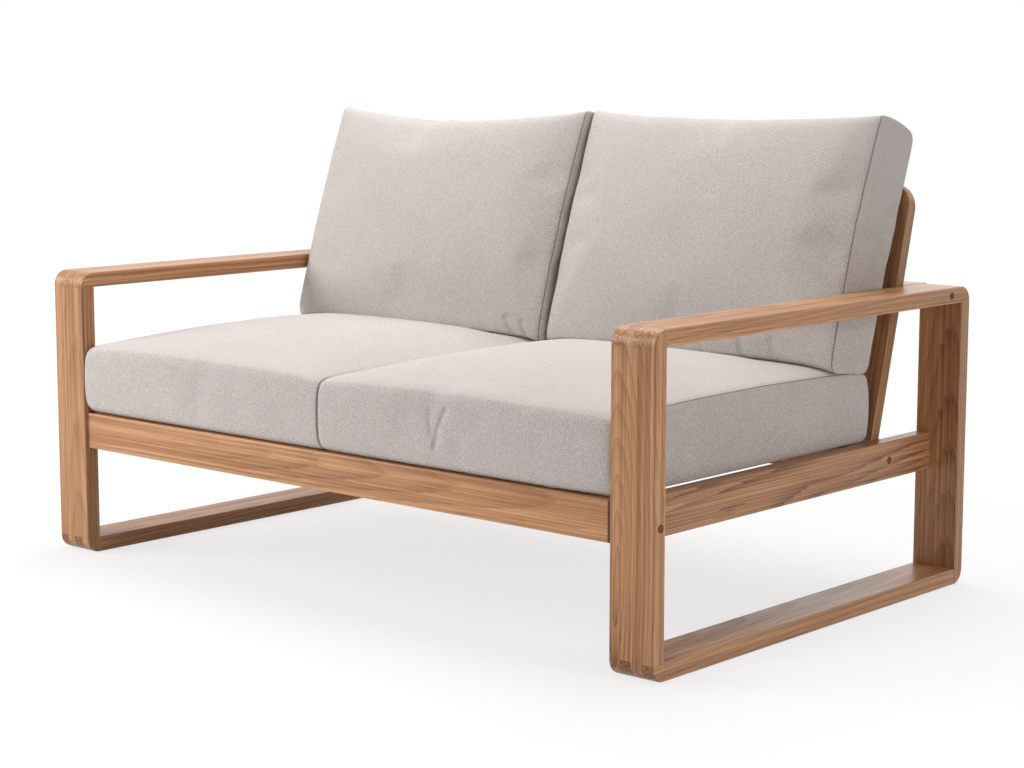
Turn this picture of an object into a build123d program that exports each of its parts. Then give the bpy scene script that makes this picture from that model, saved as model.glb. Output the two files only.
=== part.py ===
from build123d import *
import math
import os

# Patio loveseat with two box-jointed side frames, a slatted seat, a reclined slatted back
# and four loose cushions.
# Millimetres. The origin is on the floor under the middle of the seat, +X to the right seen
# from the front, the front towards -Y, +Z up. Left and right are as seen from the front.

# The whole seat
OVERALL_WIDTH = 1520.0
SIDE_DEPTH = 952.0
ARM_HEIGHT = 565.0

# Side frames: legs, arm and foot rail are the same board
BOARD_WIDTH = 90.0
BOARD_THICKNESS = 30.0
CORNER_RADIUS = 28.0
BOARD_EDGE_ROUND = 3.0
FINGER_COUNT = 4

# Seat rails and side aprons
SEAT_RAIL_TOP = 285.0
SEAT_RAIL_HEIGHT = 70.0
REAR_RAIL_FROM_REAR = 186.0
APRON_THICKNESS = 30.0
APRON_TONGUE_DEPTH = 20.0
APRON_TONGUE_THICKNESS = 10.0
APRON_TONGUE_HEIGHT = 12.0
APRON_TONGUE_SPACING = 28.0
FRONT_RAIL_THICKNESS = 22.0
FRONT_RAIL_RECESS = 6.0
REAR_RAIL_THICKNESS = 30.0
RAIL_EDGE_ROUND = 2.0

# Slatted seat
SEAT_SLAT_COUNT = 9
SEAT_SLAT_WIDTH = 70.0
SEAT_SLAT_THICKNESS = 18.0
SLAT_EDGE_PLANED = 1.5
SLAT_END_GAP = 0.5
CLEAT_DEPTH = 20.0
CLEAT_HEIGHT = 25.0
CLEAT_END_GAP = 60.0

# Reclined back frame
RECLINE_DEGREES = 14.5
BACK_HEIGHT = 756.0
BACK_THICKNESS = 26.0
BACK_SIDE_GAP = 1.0
STILE_WIDTH = 65.0
BACK_CORNER_RADIUS = 50.0
BACK_EDGE_ROUND = 3.0
TOP_RAIL_WIDTH = 65.0
LOWER_RAIL_WIDTH = 65.0
LOWER_RAIL_RISE = 25.0
BACK_TENON_LENGTH = 20.0
BACK_TENON_THICKNESS = 10.0
BACK_TENON_SHOULDER = 10.0
BACK_SLAT_COUNT = 9
BACK_SLAT_WIDTH = 55.0
BACK_SLAT_THICKNESS = 14.0
BACK_SLAT_TENON = 10.0

# Rail between the arms that carries the back frame
SUPPORT_RAIL_RECESS = 8.0
# The rail's dowel keeps clear of the rear leg's fingers, and the bolt lies part of the way
# from the rail's front edge to that dowel
ARM_DOWEL_ROOM = 3.5
ARM_BOLT_SHARE = 0.457

# Bolts, barrel nuts and the plugs that cover them
PLUG_DIAMETER = 14.0
PLUG_DEPTH = 6.0
BOLT_DIAMETER = 8.0
BOLT_HEAD_DIAMETER = 13.0
BOLT_HEAD_HEIGHT = 8.0
BOLT_SOCKET_WIDTH = 6.0
BOLT_SOCKET_DEPTH = 4.0
BOLT_HOLE_CLEARANCE = 0.1
BOLT_REACH = 50.0
BOLT_TIP_ROOM = 1.0
NUT_DIAMETER = 12.0
NUT_LENGTH = 16.0
NUT_FROM_BOLT_END = 4.0

# Dowels and screws
DOWEL_DIAMETER = 8.0
DOWEL_LENGTH = 60.0
DOWEL_INTO_SIDE = 20.0
RAIL_DOWEL_OFFSET = 26.0
FOOT_DOWEL_DIAMETER = 8.0
FOOT_DOWEL_LENGTH = 40.0
FOOT_DOWEL_SPACING = 36.0
SCREW_DIAMETER = 4.0
SCREW_HEAD_DIAMETER = 8.0
SCREW_HEAD_DEPTH = 3.0
BACK_SCREW_LENGTH = 60.0

# Cushions
CUSHION_CLEARANCE = 0.4
CUSHION_STACK_CLEARANCE = 0.6
CUSHION_SIDE_GAP = 5.0
SEAT_CUSHION_FRONT_GAP = 1.0
SEAT_CUSHION_REAR_GAP = 2.0
SEAT_CUSHION_SIDE_HEIGHT = 131.0
SEAT_CUSHION_MIDDLE_HEIGHT = 143.0
SEAT_CUSHION_CROWN = 14.0
SEAT_CUSHION_BULGE = 3.0
SEAT_CUSHION_CORNER = 34.0
SEAT_CUSHION_LOW_CORNER = 14.0
SEAT_CUSHION_DRAW_IN = 4.0
BACK_CUSHION_TOP = 880.0
BACK_CUSHION_TOP_SAG = 12.0
BACK_CUSHION_LOW_THICKNESS = 190.0
BACK_CUSHION_HIGH_THICKNESS = 148.0
BACK_CUSHION_MIDDLE_FILL = 30.0
BACK_CUSHION_REAR_DRAW_IN = 36.0
BACK_CUSHION_CROWN = 16.0
BACK_CUSHION_CORNER = 26.0

# Cross-sections from one side panel to the other, and how fast they fill out from the panels
CUSHION_SPANS = 8
CUSHION_FILL_POWER = 4
CUSHION_FILL_ROUNDNESS = 0.6
# Height of a rounded corner's arc over its chord, as a share of the way out to the corner
CORNER_BOW_SHARE = 0.414

# Length by which cutting tools run past the faces they cut
OVERRUN = 5.0

# Places worked out from the sizes above
FRONT = -SIDE_DEPTH / 2
REAR = SIDE_DEPTH / 2
SIDE_OUTER = OVERALL_WIDTH / 2
SIDE_INNER = SIDE_OUTER - BOARD_WIDTH
LEG_REAR_OF_FRONT = FRONT + BOARD_THICKNESS
LEG_FRONT_OF_REAR = REAR - BOARD_THICKNESS
ARM_UNDERSIDE = ARM_HEIGHT - BOARD_THICKNESS
SEAT_RAIL_BOTTOM = SEAT_RAIL_TOP - SEAT_RAIL_HEIGHT
SEAT_RAIL_MIDDLE = SEAT_RAIL_TOP - SEAT_RAIL_HEIGHT / 2
FRONT_RAIL_FACE = FRONT + FRONT_RAIL_RECESS
FRONT_RAIL_BACK = FRONT_RAIL_FACE + FRONT_RAIL_THICKNESS
REAR_RAIL_FACE = REAR - REAR_RAIL_FROM_REAR
REAR_RAIL_BACK = REAR_RAIL_FACE + REAR_RAIL_THICKNESS
SLAT_UNDERSIDE = SEAT_RAIL_TOP - SEAT_SLAT_THICKNESS

RECLINE = math.radians(RECLINE_DEGREES)
BACK_FOOT_DEPTH = BACK_THICKNESS / math.cos(RECLINE)
BACK_FACE_AT_SEAT = REAR_RAIL_FACE + (REAR_RAIL_THICKNESS - BACK_FOOT_DEPTH) / 2
BACK_LENGTH = (BACK_HEIGHT - SEAT_RAIL_TOP) / math.cos(RECLINE)
BACK_OUTER = SIDE_INNER - BACK_SIDE_GAP
BACK_INNER = BACK_OUTER - STILE_WIDTH
LOWER_RAIL_TOP = LOWER_RAIL_RISE + LOWER_RAIL_WIDTH
TOP_RAIL_BOTTOM = BACK_LENGTH - TOP_RAIL_WIDTH
BACK_PLACE = Pos(0, BACK_FACE_AT_SEAT, SEAT_RAIL_TOP) * Rot(-RECLINE_DEGREES, 0, 0)

SUPPORT_RAIL_BACK = REAR - SUPPORT_RAIL_RECESS
ARM_BOLT_Z = ARM_HEIGHT - BOARD_THICKNESS / 2
SUPPORT_RAIL_FRONT = (BACK_FACE_AT_SEAT + (ARM_BOLT_Z - SEAT_RAIL_TOP) * math.tan(RECLINE)
                      + BACK_FOOT_DEPTH)
ARM_DOWEL_Y = LEG_FRONT_OF_REAR - DOWEL_DIAMETER / 2 - ARM_DOWEL_ROOM
ARM_BOLT_Y = SUPPORT_RAIL_FRONT + ARM_BOLT_SHARE * (ARM_DOWEL_Y - SUPPORT_RAIL_FRONT)
LEG_BOLT_Y = FRONT_RAIL_FACE + FRONT_RAIL_THICKNESS / 2
APRON_BOLT_Y = REAR_RAIL_FACE + REAR_RAIL_THICKNESS / 2


def block(x_range, y_range, z_range):
    """A plain board between two places along each axis."""
    sizes = [high - low for low, high in (x_range, y_range, z_range)]
    middles = [(low + high) / 2 for low, high in (x_range, y_range, z_range)]
    return Pos(*middles) * Box(*sizes)


def rod_along(axis, centre, diameter, low, high):
    """A round rod whose axis runs through a centre, from low to high along X, Y or Z."""
    turn = {"x": Rot(0, 90, 0), "y": Rot(-90, 0, 0), "z": Rot(0, 0, 0)}[axis]
    place = list(centre)
    place["xyz".index(axis)] = (low + high) / 2
    return Pos(*place) * turn * Cylinder(diameter / 2, high - low)


def eased(board, axis, radius):
    """The board with the long edges along one axis rounded over."""
    return fillet(board.edges().filter_by(axis), radius)


def planed(board, axis, width):
    """The board with the long edges along one axis taken off at an angle."""
    return chamfer(board.edges().filter_by(axis), width)


def left_of(right_piece):
    """The mirror image of a piece of the right-hand side."""
    return mirror(right_piece, about=Plane.YZ)


def both_sides(right_piece):
    """A group of the right-hand piece and its mirror image."""
    return Compound(children=[*right_piece.solids(), *left_of(right_piece).solids()])


def side_ring():
    """The right side frame in one piece, before its corners are divided into fingers."""
    outline = Rectangle(SIDE_DEPTH, ARM_HEIGHT)
    outline = fillet(outline.vertices(), min(CORNER_RADIUS, BOARD_THICKNESS))
    opening = Rectangle(SIDE_DEPTH - 2 * BOARD_THICKNESS, ARM_HEIGHT - 2 * BOARD_THICKNESS)
    face = Plane.YZ * Pos(0, ARM_HEIGHT / 2, 0) * (outline - opening)
    ring = Pos(SIDE_INNER, 0, 0) * extrude(face, amount=BOARD_WIDTH)
    inner_edges = ring.edges().filter_by_position(Axis.X, SIDE_INNER, SIDE_INNER)
    outer_edges = ring.edges().filter_by_position(Axis.X, SIDE_OUTER, SIDE_OUTER)
    return fillet(inner_edges + outer_edges, BOARD_EDGE_ROUND)


def fingers(chosen, y_range, z_range):
    """The chosen fingers of a corner joint, counted from the inside of the frame."""
    width = BOARD_WIDTH / FINGER_COUNT
    combs = []
    for number in range(FINGER_COUNT):
        if number % 2 == chosen:
            start = SIDE_INNER + number * width
            combs.append(block((start, start + width), y_range, z_range))
    return combs


def board_from(ring, y_range, z_range, first_corner, second_corner):
    """One board of the side frame: its straight run and its fingers at both corners."""
    run = block((SIDE_INNER, SIDE_OUTER), y_range, z_range)
    region = run.fuse(*first_corner, *second_corner)
    return ring & region


def side_frame():
    """Legs, arm and foot rail of the right side, joined at the corners by box joints."""
    ring = side_ring()
    front_y = (FRONT, LEG_REAR_OF_FRONT)
    rear_y = (LEG_FRONT_OF_REAR, REAR)
    inside_y = (LEG_REAR_OF_FRONT, LEG_FRONT_OF_REAR)
    foot_z = (0, BOARD_THICKNESS)
    arm_z = (ARM_UNDERSIDE, ARM_HEIGHT)
    inside_z = (BOARD_THICKNESS, ARM_UNDERSIDE)
    even, odd = 0, 1
    return {
        "front_leg": board_from(ring, front_y, inside_z,
                                fingers(even, front_y, foot_z), fingers(odd, front_y, arm_z)),
        "rear_leg": board_from(ring, rear_y, inside_z,
                               fingers(odd, rear_y, foot_z), fingers(even, rear_y, arm_z)),
        "arm_rail": board_from(ring, inside_y, arm_z,
                               fingers(even, front_y, arm_z), fingers(odd, rear_y, arm_z)),
        "foot_rail": board_from(ring, inside_y, foot_z,
                                fingers(odd, front_y, foot_z), fingers(even, rear_y, foot_z)),
    }


def bolt_set(face_x, board_depth, bolt_y, bolt_z, nut_axis):
    """A bolt from the outer face into the end of a rail, with its nut, plug and bores."""
    joint_x = face_x - board_depth
    plug_end = face_x - PLUG_DEPTH
    head_end = plug_end - BOLT_HEAD_HEIGHT
    tip = joint_x - BOLT_REACH
    centre = (0, bolt_y, bolt_z)
    nut_x = tip + NUT_FROM_BOLT_END
    nut_middle = {"y": bolt_y, "z": bolt_z}[nut_axis]
    nut_range = (nut_middle - NUT_LENGTH / 2, nut_middle + NUT_LENGTH / 2)
    nut_centre = (nut_x, bolt_y, bolt_z)
    bore = BOLT_DIAMETER + 2 * BOLT_HOLE_CLEARANCE
    socket_face = Plane(origin=(plug_end, bolt_y, bolt_z), z_dir=(-1, 0, 0))
    socket = extrude(socket_face * RegularPolygon(BOLT_SOCKET_WIDTH / 2, 6, major_radius=False),
                     amount=BOLT_SOCKET_DEPTH)
    shank = rod_along("x", centre, BOLT_DIAMETER, tip, head_end)
    head = rod_along("x", centre, BOLT_HEAD_DIAMETER, head_end, plug_end) - socket
    shank_hole = rod_along("x", centre, bore, tip - BOLT_TIP_ROOM, head_end)
    return {
        "plug": rod_along("x", centre, PLUG_DIAMETER, plug_end, face_x),
        "bolt": shank + head,
        "nut": rod_along(nut_axis, nut_centre, NUT_DIAMETER, *nut_range)
        - rod_along("x", centre, bore, nut_x - NUT_DIAMETER, nut_x + NUT_DIAMETER),
        "board_bore": shank_hole
        + rod_along("x", centre, PLUG_DIAMETER, head_end, face_x + OVERRUN),
        "rail_bore": shank_hole
        + rod_along(nut_axis, nut_centre, NUT_DIAMETER, nut_range[0], nut_range[1] + OVERRUN),
    }


def apron_tongues():
    """Twin tongues at each end of the right apron, above and below the leg bolt's line."""
    middle_x = SIDE_INNER + APRON_THICKNESS / 2
    x_range = (middle_x - APRON_TONGUE_THICKNESS / 2, middle_x + APRON_TONGUE_THICKNESS / 2)
    front_y = (LEG_REAR_OF_FRONT - APRON_TONGUE_DEPTH, LEG_REAR_OF_FRONT)
    rear_y = (LEG_FRONT_OF_REAR, LEG_FRONT_OF_REAR + APRON_TONGUE_DEPTH)
    tongues = []
    for y_range in (front_y, rear_y):
        for step in (-1, 1):
            z = SEAT_RAIL_MIDDLE + step * APRON_TONGUE_SPACING / 2
            z_range = (z - APRON_TONGUE_HEIGHT / 2, z + APRON_TONGUE_HEIGHT / 2)
            tongues.append(block(x_range, y_range, z_range))
    return tongues


def rail_dowel(joint_x, y, z):
    """A dowel across a joint between the right side and the end of a rail."""
    tip = joint_x + DOWEL_INTO_SIDE
    return rod_along("x", (0, y, z), DOWEL_DIAMETER, tip - DOWEL_LENGTH, tip)


def bored_both_ends(rail, cutter):
    """The rail with a hole at its right end and the mirror image of it at its left."""
    return rail.cut(cutter, left_of(cutter))


def screw(length):
    """A countersunk screw that stands along Z with its head's face at zero."""
    shaft = Pos(0, 0, -length / 2) * Cylinder(SCREW_DIAMETER / 2, length)
    head = Cone(SCREW_DIAMETER / 2, SCREW_HEAD_DIAMETER / 2, SCREW_HEAD_DEPTH)
    return shaft + Pos(0, 0, -SCREW_HEAD_DEPTH / 2) * head


def spread(count, width, low, high):
    """Middles of equal boards laid between two faces with equal gaps."""
    gap = (high - low - count * width) / (count + 1)
    return [low + gap + width / 2 + number * (width + gap) for number in range(count)]


def seat_slats():
    """Seat slats that run from the front rail to the rear rail on two cleats."""
    y_range = (FRONT_RAIL_BACK + SLAT_END_GAP, REAR_RAIL_FACE - SLAT_END_GAP)
    slats = []
    for x in spread(SEAT_SLAT_COUNT, SEAT_SLAT_WIDTH, -SIDE_INNER, SIDE_INNER):
        slat = block((x - SEAT_SLAT_WIDTH / 2, x + SEAT_SLAT_WIDTH / 2), y_range,
                     (SLAT_UNDERSIDE, SEAT_RAIL_TOP))
        slats.append(planed(slat, Axis.Y, SLAT_EDGE_PLANED))
    return slats


def cleat(y_range):
    """A strip along the inside of a seat rail that carries the slats' ends."""
    reach = SIDE_INNER - CLEAT_END_GAP
    return block((-reach, reach), y_range, (SLAT_UNDERSIDE - CLEAT_HEIGHT, SLAT_UNDERSIDE))


def back_tenon(x_range, low, high):
    """The tongue on a back rail's end that enters the stile, in the back's own plane."""
    middle = BACK_THICKNESS / 2
    half = BACK_TENON_THICKNESS / 2
    return block(x_range, (middle - half, middle + half),
                 (low + BACK_TENON_SHOULDER, high - BACK_TENON_SHOULDER))


def back_slat_bodies():
    """Upright back slats with their ends housed in the top and lower rails."""
    middle = BACK_THICKNESS / 2
    half = BACK_SLAT_THICKNESS / 2
    slats = []
    for x in spread(BACK_SLAT_COUNT, BACK_SLAT_WIDTH, -BACK_INNER, BACK_INNER):
        slat = block((x - BACK_SLAT_WIDTH / 2, x + BACK_SLAT_WIDTH / 2),
                     (middle - half, middle + half),
                     (LOWER_RAIL_TOP - BACK_SLAT_TENON, TOP_RAIL_BOTTOM + BACK_SLAT_TENON))
        slats.append(planed(slat, Axis.Z, SLAT_EDGE_PLANED))
    return slats


def back_stile():
    """The right stile: round at the top outer corner, its foot cut level on the rear rail."""
    below = BACK_THICKNESS
    stile = block((BACK_INNER, BACK_OUTER), (0, BACK_THICKNESS), (-below, BACK_LENGTH))
    corner = stile.edges().filter_by(Axis.Y).sort_by(Axis.Z)[-2:].sort_by(Axis.X)[-1]
    stile = fillet(corner, min(BACK_CORNER_RADIUS, STILE_WIDTH))
    faces = stile.faces().filter_by(Axis.Y)
    around = [edge for face in faces for edge in face.edges()
              if edge.center().X > BACK_INNER + BACK_EDGE_ROUND
              and edge.center().Z > -below + BACK_EDGE_ROUND]
    stile = fillet(around, BACK_EDGE_ROUND)
    for low, high in ((LOWER_RAIL_RISE, LOWER_RAIL_TOP), (TOP_RAIL_BOTTOM, BACK_LENGTH)):
        stile -= back_tenon((BACK_INNER, BACK_INNER + BACK_TENON_LENGTH), low, high)
    return stile


def back_rail(low, high, slats):
    """A rail between the stiles, with tongues at its ends and housings for the slats."""
    rail = block((-BACK_INNER, BACK_INNER), (0, BACK_THICKNESS), (low, high))
    rail = eased(rail, Axis.X, BACK_EDGE_ROUND)
    reach = BACK_INNER + BACK_TENON_LENGTH
    rail = rail + back_tenon((-reach, reach), low, high)
    return rail.cut(*slats)


def back_face_y(z):
    """Where the front plane of the back frame is at a height."""
    return BACK_FACE_AT_SEAT + (z - SEAT_RAIL_TOP) * math.tan(RECLINE)


def support_rail():
    """The flat rail between the arms, its front edge bevelled to the back frame."""
    low_y = back_face_y(ARM_UNDERSIDE) + BACK_FOOT_DEPTH
    high_y = back_face_y(ARM_HEIGHT) + BACK_FOOT_DEPTH
    corners = [(low_y, ARM_UNDERSIDE), (SUPPORT_RAIL_BACK, ARM_UNDERSIDE),
               (SUPPORT_RAIL_BACK, ARM_HEIGHT), (high_y, ARM_HEIGHT)]
    section = Plane.YZ * make_face(Polyline(*corners, close=True))
    rail = extrude(section, amount=SIDE_INNER, both=True)
    rear_edges = rail.edges().filter_by(Axis.X).sort_by(Axis.Y)[-2:]
    return fillet(rear_edges, RAIL_EDGE_ROUND)


def back_screw():
    """A screw through the right stile into the support rail, square to the back's plane."""
    x = BACK_OUTER - STILE_WIDTH / 2
    height = (ARM_BOLT_Z - SEAT_RAIL_TOP) / math.cos(RECLINE)
    return BACK_PLACE * Pos(x, 0, height) * Rot(90, 0, 0) * screw(BACK_SCREW_LENGTH)


def foot_dowels():
    """Two dowels between the right stile's foot and the rear seat rail."""
    middle = BACK_OUTER - STILE_WIDTH / 2
    y = REAR_RAIL_FACE + REAR_RAIL_THICKNESS / 2
    ends = (SEAT_RAIL_TOP - FOOT_DOWEL_LENGTH / 2, SEAT_RAIL_TOP + FOOT_DOWEL_LENGTH / 2)
    return [rod_along("z", (middle + step * FOOT_DOWEL_SPACING / 2, y, 0),
                      FOOT_DOWEL_DIAMETER, *ends) for step in (-1, 1)]


def cushion_section(x, corners, radii, bows):
    """A cushion's cross-section: four corners rounded by their radii, each side bowed out."""
    points = [Vector(0, y, z) for y, z in corners]
    count = len(points)
    starts, ends = [], []
    for number, point in enumerate(points):
        before = (points[number - 1] - point).normalized()
        after = (points[(number + 1) % count] - point).normalized()
        starts.append(point + before * radii[number])
        ends.append(point + after * radii[number])
    middle = sum(points, Vector(0, 0, 0)) / count
    edges = []
    for number, point in enumerate(points):
        chord = (starts[number] + ends[number]) / 2
        bow = chord + (point - chord) * CORNER_BOW_SHARE
        edges.append(ThreePointArc(starts[number], bow, ends[number]))
        following = starts[(number + 1) % count]
        if bows[number] == 0:
            edges.append(Line(ends[number], following))
        else:
            centre = (ends[number] + following) / 2
            along = (following - ends[number]).normalized()
            outward = Vector(0, along.Z, -along.Y)
            if outward.dot(centre - middle) < 0:
                outward = -outward
            edges.append(ThreePointArc(ends[number], centre + outward * bows[number], following))
    return Pos(x, 0, 0) * Face(Wire(edges))


def between(plain, full, fullness):
    """A value part of the way from the side panel's to the middle's."""
    return plain + (full - plain) * fullness


def cushion(low_x, high_x, section):
    """A cushion lofted through cross-sections that lie closer together near its side panels."""
    sections = []
    for number in range(CUSHION_SPANS + 1):
        off_middle = math.cos(math.pi * number / CUSHION_SPANS)
        fullness = (1 - abs(off_middle) ** CUSHION_FILL_POWER) ** CUSHION_FILL_ROUNDNESS
        sections.append(section(between(low_x, high_x, (1 - off_middle) / 2), fullness))
    return loft(sections, ruled=True)


def seat_cushion_depth(fullness):
    """Where the seat cushion's front and rear faces meet its bowed corners."""
    draw = between(SEAT_CUSHION_DRAW_IN, 0, fullness)
    front = FRONT + SEAT_CUSHION_FRONT_GAP + SEAT_CUSHION_BULGE + draw
    rear = REAR_RAIL_FACE - SEAT_CUSHION_REAR_GAP - SEAT_CUSHION_BULGE - draw
    return front, rear


def seat_cushion_top(y):
    """How high the middle of the seat cushion's crown is at a place from front to rear."""
    front, rear = seat_cushion_depth(1)
    half = (rear - front) / 2 - SEAT_CUSHION_CORNER
    arc_radius = (half ** 2 + SEAT_CUSHION_CROWN ** 2) / (2 * SEAT_CUSHION_CROWN)
    drop = arc_radius - math.sqrt(arc_radius ** 2 - (y - (front + rear) / 2) ** 2)
    edge = SEAT_RAIL_TOP + CUSHION_CLEARANCE + SEAT_CUSHION_MIDDLE_HEIGHT
    return edge + SEAT_CUSHION_CROWN - drop


def seat_cushion_section(x, fullness):
    """The seat cushion's cross-section: flat under, a full rounded front and a crowned top."""
    front, rear = seat_cushion_depth(fullness)
    low = SEAT_RAIL_TOP + CUSHION_CLEARANCE
    high = low + between(SEAT_CUSHION_SIDE_HEIGHT, SEAT_CUSHION_MIDDLE_HEIGHT, fullness)
    crown = between(SEAT_CUSHION_CROWN / 2, SEAT_CUSHION_CROWN, fullness)
    corners = [(front, low), (rear, low), (rear, high), (front, high)]
    radii = (SEAT_CUSHION_LOW_CORNER, SEAT_CUSHION_LOW_CORNER,
             SEAT_CUSHION_CORNER, SEAT_CUSHION_CORNER)
    return cushion_section(x, corners, radii,
                           (0, SEAT_CUSHION_BULGE, crown, SEAT_CUSHION_BULGE))


def back_cushion_section(x, fullness):
    """The back cushion's cross-section: foot on the seat cushion, top square to its lean."""
    seat_edge = SEAT_RAIL_TOP + SEAT_CUSHION_MIDDLE_HEIGHT
    front_foot = back_face_y(seat_edge) - BACK_CUSHION_LOW_THICKNESS - BACK_CUSHION_MIDDLE_FILL
    low = seat_cushion_top(front_foot + BACK_CUSHION_CORNER) + CUSHION_STACK_CLEARANCE
    high = BACK_CUSHION_TOP - between(0, BACK_CUSHION_TOP_SAG, fullness)
    rear_high = high - BACK_CUSHION_HIGH_THICKNESS * math.tan(RECLINE)
    fill = between(0, BACK_CUSHION_MIDDLE_FILL, fullness)
    rear_gap = CUSHION_CLEARANCE / math.cos(RECLINE)
    rear_gap += between(BACK_CUSHION_REAR_DRAW_IN, 0, fullness)
    corners = [(back_face_y(low) - BACK_CUSHION_LOW_THICKNESS - fill, low),
               (back_face_y(low) - rear_gap, low),
               (back_face_y(rear_high) - rear_gap, rear_high),
               (back_face_y(high) - BACK_CUSHION_HIGH_THICKNESS - fill, high)]
    crown = between(BACK_CUSHION_CROWN / 2, BACK_CUSHION_CROWN, fullness)
    radii = [BACK_CUSHION_CORNER] * len(corners)
    return cushion_section(x, corners, radii, (0, 0, crown / 2, crown))


def build():
    """Every piece of the loveseat by name."""
    pieces = {}
    side = side_frame()
    side["side_apron"] = eased(
        block((SIDE_INNER, SIDE_INNER + APRON_THICKNESS), (LEG_REAR_OF_FRONT, LEG_FRONT_OF_REAR),
              (SEAT_RAIL_BOTTOM, SEAT_RAIL_TOP)), Axis.Y, RAIL_EDGE_ROUND)
    front_rail = eased(
        block((-SIDE_INNER, SIDE_INNER), (FRONT_RAIL_FACE, FRONT_RAIL_BACK),
              (SEAT_RAIL_BOTTOM, SEAT_RAIL_TOP)), Axis.X, RAIL_EDGE_ROUND)
    rear_rail = planed(
        block((-SIDE_INNER, SIDE_INNER), (REAR_RAIL_FACE, REAR_RAIL_BACK),
              (SEAT_RAIL_BOTTOM, SEAT_RAIL_TOP)), Axis.X, SLAT_EDGE_PLANED)
    carrier = support_rail()

    # Bolts from the outside into the rails' ends
    leg_bolt = bolt_set(SIDE_OUTER, BOARD_WIDTH, LEG_BOLT_Y, SEAT_RAIL_MIDDLE, "y")
    apron_bolt = bolt_set(SIDE_INNER + APRON_THICKNESS, APRON_THICKNESS, APRON_BOLT_Y,
                          SEAT_RAIL_MIDDLE, "y")
    arm_bolt = bolt_set(SIDE_OUTER, BOARD_WIDTH, ARM_BOLT_Y, ARM_BOLT_Z, "z")
    side["front_leg"] -= leg_bolt["board_bore"]
    side["side_apron"] -= apron_bolt["board_bore"]
    side["arm_rail"] -= arm_bolt["board_bore"]
    front_rail = bored_both_ends(front_rail, leg_bolt["rail_bore"])
    rear_rail = bored_both_ends(rear_rail, apron_bolt["rail_bore"])
    carrier = bored_both_ends(carrier, arm_bolt["rail_bore"])

    # Tongues of the aprons and dowels of the rails
    tongues = apron_tongues()
    side["side_apron"] = side["side_apron"].fuse(*tongues)
    side["front_leg"] = side["front_leg"].cut(*tongues)
    side["rear_leg"] = side["rear_leg"].cut(*tongues)
    front_dowel = rail_dowel(SIDE_INNER, LEG_BOLT_Y, SEAT_RAIL_MIDDLE - RAIL_DOWEL_OFFSET)
    rear_dowel = rail_dowel(SIDE_INNER, APRON_BOLT_Y, SEAT_RAIL_MIDDLE - RAIL_DOWEL_OFFSET)
    carrier_dowel = rail_dowel(SIDE_INNER, ARM_DOWEL_Y, ARM_BOLT_Z)
    side["front_leg"] -= front_dowel
    side["side_apron"] -= rear_dowel
    side["arm_rail"] -= carrier_dowel
    front_rail = bored_both_ends(front_rail, front_dowel)
    rear_rail = bored_both_ends(rear_rail, rear_dowel)
    carrier = bored_both_ends(carrier, carrier_dowel)

    # Slatted seat
    front_cleat = cleat((FRONT_RAIL_BACK, FRONT_RAIL_BACK + CLEAT_DEPTH))
    rear_cleat = cleat((REAR_RAIL_FACE - CLEAT_DEPTH, REAR_RAIL_FACE))
    for number, slat in enumerate(seat_slats(), start=1):
        pieces[f"seat_slat_{number}"] = slat

    # Back frame
    back_slats = back_slat_bodies()
    foot = foot_dowels()
    foot_plane = block((-OVERALL_WIDTH, OVERALL_WIDTH), (FRONT, REAR), (0, SEAT_RAIL_TOP))
    screw_right = back_screw()
    stile = (BACK_PLACE * back_stile()).cut(foot_plane, screw_right, *foot)
    rear_rail = rear_rail.cut(*foot, *[left_of(rod) for rod in foot])
    carrier = bored_both_ends(carrier, screw_right)
    for number, slat in enumerate(back_slats, start=1):
        pieces[f"back_slat_{number}"] = BACK_PLACE * slat
    pieces["back_top_rail"] = BACK_PLACE * back_rail(TOP_RAIL_BOTTOM, BACK_LENGTH, back_slats)
    pieces["back_lower_rail"] = BACK_PLACE * back_rail(LOWER_RAIL_RISE, LOWER_RAIL_TOP,
                                                       back_slats)
    side["back_stile"] = stile

    for name, piece in side.items():
        pieces[f"{name}_right"] = piece
        pieces[f"{name}_left"] = left_of(piece)
    pieces["front_seat_rail"] = front_rail
    pieces["rear_seat_rail"] = rear_rail
    pieces["back_support_rail"] = carrier
    pieces["front_slat_cleat"] = front_cleat
    pieces["rear_slat_cleat"] = rear_cleat

    # Fasteners, each kind as one group of separate solids
    pieces["leg_plugs"] = both_sides(leg_bolt["plug"])
    pieces["apron_plugs"] = both_sides(apron_bolt["plug"])
    pieces["arm_plugs"] = both_sides(arm_bolt["plug"])
    pieces["leg_bolts"] = both_sides(leg_bolt["bolt"])
    pieces["apron_bolts"] = both_sides(apron_bolt["bolt"])
    pieces["arm_bolts"] = both_sides(arm_bolt["bolt"])
    nuts = Compound(children=[leg_bolt["nut"], apron_bolt["nut"], arm_bolt["nut"]])
    pieces["barrel_nuts"] = both_sides(nuts)
    rail_dowels = Compound(children=[front_dowel, rear_dowel, carrier_dowel])
    pieces["rail_dowels"] = both_sides(rail_dowels)
    pieces["back_foot_dowels"] = both_sides(Compound(children=foot))
    pieces["back_frame_screws"] = both_sides(screw_right)

    # Cushions
    reach = SIDE_INNER - CUSHION_SIDE_GAP
    inner = CUSHION_CLEARANCE
    pieces["seat_cushion_right"] = cushion(inner, reach, seat_cushion_section)
    pieces["seat_cushion_left"] = cushion(-reach, -inner, seat_cushion_section)
    pieces["back_cushion_right"] = cushion(inner, reach, back_cushion_section)
    pieces["back_cushion_left"] = cushion(-reach, -inner, back_cushion_section)
    return pieces


os.makedirs("parts", exist_ok=True)
for name, piece in build().items():
    export_step(piece, f"parts/{name}.step")
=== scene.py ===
import math

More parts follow.
